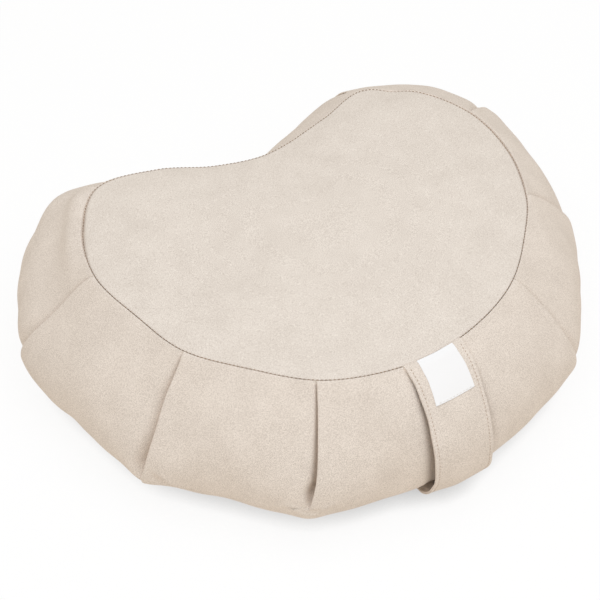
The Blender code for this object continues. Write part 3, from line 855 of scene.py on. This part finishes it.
def canvas(name, light, dark):
    """Natural cotton canvas, plain woven of spun yarns, unbleached and washed.

    To the eye it is matt, with a faint bloom from loose fibres at a slant. Its warp and weft give a
    fine uneven grain, and flecks of seed and thicker yarn a mottled tone over wide soft clouds.
    The real yarns lie about 0.5 mm apart, too fine to show here, so the grain is drawn coarser.
    """
    bloom = {"Specular IOR Level": 0.25, "Sheen Weight": 0.12, "Sheen Roughness": 0.6}
    material, tree, shader = new_material(name, 0.92, bloom)
    cloth = node(tree, "ShaderNodeUVMap", {"uv_map": "cloth"}).outputs["UV"]
    place = node(tree, "ShaderNodeTexCoord").outputs["Object"]
    warp = slubs(tree, cloth, YARN_SCALE, SLUB_SCALE)
    weft = slubs(tree, cloth, SLUB_SCALE, YARN_SCALE)
    grain = node(tree, "ShaderNodeMath", {"operation": 'ADD'}, {0: warp, 1: weft}).outputs["Value"]
    fleck = noise(tree, place, FLECK_SCALE, 0)
    cloud = noise(tree, place, CLOUD_SCALE, 2)
    mixed = {0: fleck, 1: FLECK_WEIGHT, 2: cloud}
    tone = node(tree, "ShaderNodeMath", {"operation": 'MULTIPLY_ADD'}, mixed).outputs["Value"]
    toned = {"Value": tone, "From Min": 1.5, "From Max": 3.3}
    share = node(tree, "ShaderNodeMapRange", sockets=toned).outputs["Result"]
    colours = {"Factor": share, 6: linear(dark), 7: linear(light)}
    colour = node(tree, "ShaderNodeMix", {"data_type": 'RGBA'}, colours)
    tree.links.new(colour.outputs[2], shader.inputs["Base Color"])
    bumps = {"Height": grain, "Strength": 0.2, "Distance": GRAIN_RELIEF}
    bump = node(tree, "ShaderNodeBump", sockets=bumps)
    tree.links.new(bump.outputs["Normal"], shader.inputs["Normal"])
    return material


def satin():
    """White polyester satin tape: smooth and even, so it is brighter than the cotton round it."""
    material, _, shader = new_material("polyester satin tape, woven white", 0.45, {"Sheen Weight": 0.1})
    shader.inputs["Base Color"].default_value = linear("#fdfdfe")
    return material


def thread(name, colour):
    """Spun polyester sewing thread, twisted: a soft shine across fine slanting ribs."""
    material, tree, shader = new_material(name, 0.6, {"Sheen Weight": 0.2})
    place = node(tree, "ShaderNodeTexCoord").outputs["Object"]
    twist = {"Vector": place, "Scale": 1 / (20 * THREAD_TWIST), "Distortion": 1.0}
    ply = node(tree, "ShaderNodeTexWave", {"bands_direction": 'DIAGONAL'}, twist).outputs["Fac"]
    colours = {"Factor": ply, 6: linear(colour[0]), 7: linear(colour[1])}
    tone = node(tree, "ShaderNodeMix", {"data_type": 'RGBA'}, colours)
    tree.links.new(tone.outputs[2], shader.inputs["Base Color"])
    bump = node(tree, "ShaderNodeBump", sockets={"Height": ply, "Strength": 0.4, "Distance": 0.1 * MM})
    tree.links.new(bump.outputs["Normal"], shader.inputs["Normal"])
    return material


def floor_material():
    """Pale sweep that bounces warm light, and shows as nearly white but for a shade by the cushion."""
    material, tree, shader = new_material("pale paper sweep, back-lit", 0.9)
    shader.inputs["Base Color"].default_value = linear("#f8f0e6")
    paper = node(tree, "ShaderNodeBsdfDiffuse", sockets={"Color": linear("#ffffff")}).outputs["BSDF"]
    near = {"Distance": SHADE_REACH}
    open_sky = node(tree, "ShaderNodeAmbientOcclusion", {"samples": 16}, near).outputs["AO"]
    ramp = {"Value": open_sky, "From Min": 0.1, "From Max": 0.60, "To Min": 0.5, "To Max": 1.01}
    shade = node(tree, "ShaderNodeMapRange", sockets=ramp).outputs["Result"]
    glow = node(tree, "ShaderNodeEmission", sockets={"Color": linear("#ffffff"), "Strength": shade})
    shown = node(tree, "ShaderNodeMixShader", sockets={0: 0.88, 1: paper, 2: glow.outputs["Emission"]})
    seen = node(tree, "ShaderNodeLightPath").outputs["Is Camera Ray"]
    sides = {0: seen, 1: shader.outputs["BSDF"], 2: shown.outputs["Shader"]}
    both = node(tree, "ShaderNodeMixShader", sockets=sides)
    tree.links.new(both.outputs["Shader"], tree.nodes["Material Output"].inputs["Surface"])
    return material


def dress(thing, material, node_name=None):
    """Give a piece its material and its body, and hide the solid it stands for."""
    thing.data.materials.append(material)
    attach(thing, BODY)
    if node_name:
        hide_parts(node_name)
    return thing


# ---------------------------------------------------------------- stage
def camera():
    """Camera above the front left, aimed near the cushion's middle."""
    azimuth, elevation, distance = math.radians(-27.804), math.radians(47.791), 1.27727
    target = Vector((-28.93 * MM + SHIFT[0], -40.38 * MM + SHIFT[1], 56.16 * MM))
    away = Vector((math.sin(azimuth) * math.cos(elevation), -math.cos(azimuth) * math.cos(elevation),
                   math.sin(elevation)))
    data = bpy.data.cameras.new("camera")
    data.lens = 96
    data.sensor_width = 36
    data.clip_start = 0.05
    thing = bpy.data.objects.new("camera", data)
    thing.location = target + away * distance
    thing.rotation_euler = (-away).to_track_quat('-Z', 'Y').to_euler()
    bpy.context.scene.collection.objects.link(thing)
    bpy.context.scene.camera = thing


def area_light(name, place, target, size, power, colour):
    """Square soft light at a place, facing a target."""
    data = bpy.data.lights.new(name, 'AREA')
    data.energy = power
    data.size = size
    data.color = linear(colour)[:3]
    thing = bpy.data.objects.new(name, data)
    thing.location = place
    thing.rotation_euler = (Vector(target) - Vector(place)).to_track_quat('-Z', 'Y').to_euler()
    bpy.context.scene.collection.objects.link(thing)


def studio():
    """Pale floor, soft sky and one large soft light over the front."""
    bpy.ops.mesh.primitive_plane_add(size=30, location=(0, 0, 0))
    floor = bpy.context.object
    floor.name = "floor"
    floor.data.materials.append(floor_material())
    world = bpy.data.worlds.new("studio")
    bpy.context.scene.world = world
    world.use_nodes = True
    world.node_tree.nodes["Background"].inputs["Color"].default_value = linear("#fff8ee")
    world.node_tree.nodes["Background"].inputs["Strength"].default_value = 0.57
    area_light("key", (-0.05, -0.32, 1.48), (0, 0, 0), 2.2, 16.6, "#edf5ff")
    bpy.context.scene.view_settings.view_transform = 'Standard'


def main():
    """Set the stage, then build and dress every piece."""
    camera()
    studio()
    panel_cloth = canvas("cotton canvas, plain woven, panels", "#f6ede3", "#d7ccc1")
    # The band's and the strap's canvas is the panels' cloth with a warmer tint and a darker dark end: painted
    # shade of the sides, which face away from the overhead light.
    band_canvas_painted_shade = canvas("cotton canvas, plain woven, band, painted side shade", "#f8ede2", "#d5c9bd")
    strap_cloth = canvas("cotton canvas, plain woven, strap, painted side shade", "#f8ede2", "#d5c9bd")
    body = dress(filled_body(), band_canvas_painted_shade, "cushion_body")
    top = dress(top_panel(), panel_cloth, "top_panel")
    bottom = dress(bottom_panel(), panel_cloth, "bottom_panel")
    strap = dress(handle_strap(), strap_cloth, "handle_strap")
    tab = dress(label(), satin(), "label")
    # The seam thread's dark brown is partly painted shade of the seam's groove.
    dress(seam_stitches(), thread("polyester thread, spun, brown, painted groove shade", ("#8c7058", "#ab8d72")))
    dress(strap_stitches(), thread("polyester thread, spun, tan", ("#b39b86", "#c8b29d")))
    dress(label_stitches(), thread("polyester thread, spun, white", ("#e3ded6", "#f3f0ea")))


main()
